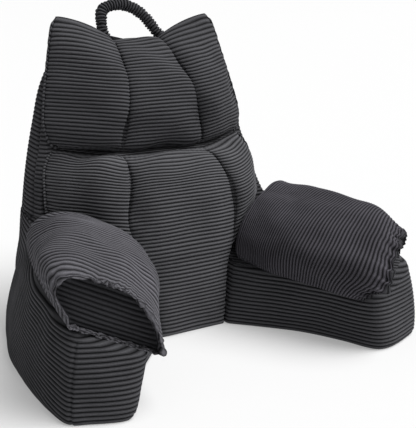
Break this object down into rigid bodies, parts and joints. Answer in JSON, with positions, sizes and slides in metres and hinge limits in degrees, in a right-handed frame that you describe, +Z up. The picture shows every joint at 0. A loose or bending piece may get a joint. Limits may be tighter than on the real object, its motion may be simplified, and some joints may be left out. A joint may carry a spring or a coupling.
{
  "type": "reading pillow with arms",
  "caption": "Corduroy reading pillow: a filled casing with a tall back and two arms, quilted head and lumbar cushions, arm pads and a carrying handle.",
  "frame": {"origin": "on the floor, under the middle of the whole pillow's bounding box", "axes": "+Z up, the sitter faces -Y and +X is the sitter's left, along the pillow's width"},
  "size_m": [0.8614, 0.6553, 0.7168],
  "materials": {
    "casing_corduroy": "matt ribbed corduroy",
    "cushion_corduroy": "matt ribbed corduroy",
    "pad_corduroy": "matt ribbed corduroy",
    "handle_corduroy": "matt gathered corduroy"
  },
  "bodies": {
    "root": {"body": "casing_corduroy", "lumbar_cushion": "cushion_corduroy", "head_cushion": "cushion_corduroy", "arm_pad_left": "pad_corduroy", "arm_pad_right": "pad_corduroy", "handle": "handle_corduroy"}
  },
  "joints": []
}
